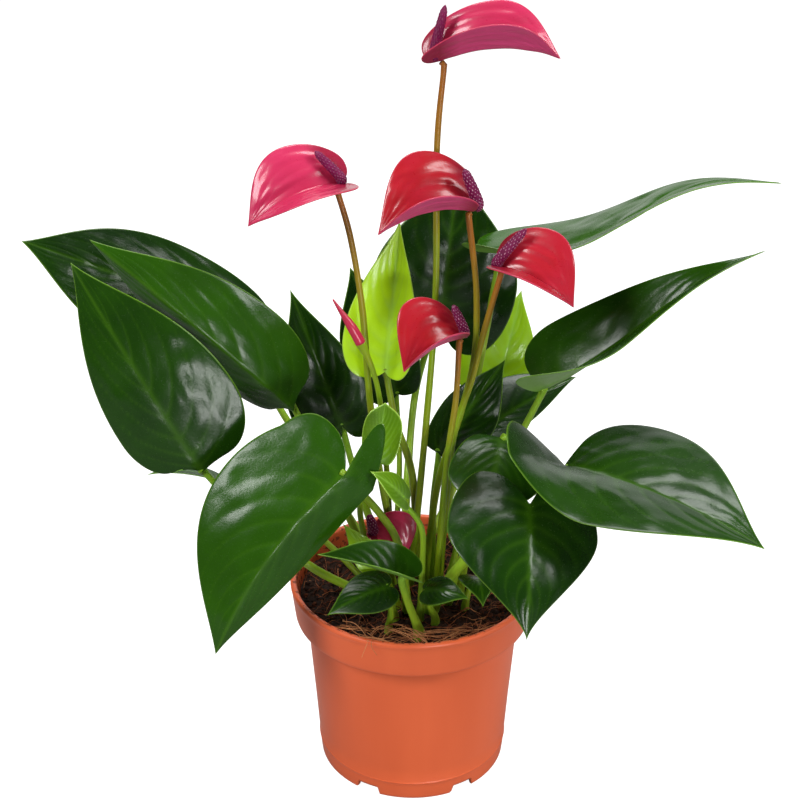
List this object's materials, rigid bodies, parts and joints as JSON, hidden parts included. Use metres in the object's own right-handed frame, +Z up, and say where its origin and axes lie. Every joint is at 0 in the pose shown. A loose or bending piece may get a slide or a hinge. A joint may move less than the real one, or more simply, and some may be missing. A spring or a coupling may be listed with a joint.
{
  "type": "potted anthurium plant",
  "caption": "Flowering anthurium in a tapered plastic grower's pot: heart-shaped leaves on thin petioles around long flower stalks with glossy hooded spathes and upright spadices.",
  "frame": {"origin": "middle of the pot's flat base, on the surface it stands on", "axes": "+Z up along the pot's axis; -Y is the side with the folded front leaf, and +X is the viewer's right when looking from -Y"},
  "size_m": [0.3472, 0.1808, 0.3752],
  "materials": {
    "pot_terracotta": "satin-gloss moulded plastic",
    "soil_brown": "rough moist potting mix with coir fibre; the density of moist plant matter",
    "leaf_green": "glossy dark green living leaf",
    "young_green": "satin light green young leaf",
    "stem_green": "satin olive green stem",
    "hood_red": "waxy glossy pink-red hood",
    "spadix_purple": "matte purple with pale dots"
  },
  "bodies": {
    "root": {"flower_bud": "hood_red", "flower_stalk_centre": "stem_green", "flower_stalk_left": "stem_green", "flower_stalk_low": "stem_green", "flower_stalk_middle": "stem_green", "flower_stalk_right": "stem_green", "flower_stalk_top": "stem_green", "leaf_back_centre": "leaf_green", "leaf_bright_back": "young_green", "leaf_cupped": "young_green", "leaf_front_folded": "leaf_green", "leaf_front_left": "leaf_green", "leaf_front_right": "leaf_green", "leaf_left_back": "leaf_green", "leaf_left_lower": "leaf_green", "leaf_left_under": "leaf_green", "leaf_left_upper": "leaf_green", "leaf_low_bright": "young_green", "leaf_mid_left": "leaf_green", "leaf_mid_right": "leaf_green", "leaf_right_front": "leaf_green", "leaf_right_low": "leaf_green", "leaf_right_mid": "leaf_green", "leaf_right_upper": "leaf_green", "leaf_rim_back": "leaf_green", "leaf_rim_left": "leaf_green", "leaf_rim_right": "leaf_green", "leaf_small_back": "leaf_green", "leaf_spoon": "young_green", "leaf_upright_right": "leaf_green", "leaf_young_upright": "young_green", "petiole_back_centre": "stem_green", "petiole_bright_back": "stem_green", "petiole_front_left": "stem_green", "petiole_front_right": "stem_green", "petiole_left_back": "stem_green", "petiole_left_lower": "stem_green", "petiole_left_upper": "stem_green", "petiole_mid_left": "stem_green", "petiole_mid_right": "stem_green", "petiole_right_front": "stem_green", "petiole_right_mid": "stem_green", "petiole_right_upper": "stem_green", "petiole_upright_right": "stem_green", "petiole_young_upright": "stem_green", "pot": "pot_terracotta", "soil": "soil_brown", "spadix_centre": "spadix_purple", "spadix_left": "spadix_purple", "spadix_low": "spadix_purple", "spadix_middle": "spadix_purple", "spadix_right": "spadix_purple", "spadix_top": "spadix_purple", "spathe_centre": "hood_red", "spathe_left": "hood_red", "spathe_low": "hood_red", "spathe_middle": "hood_red", "spathe_right": "hood_red", "spathe_top": "hood_red"}
  },
  "joints": []
}
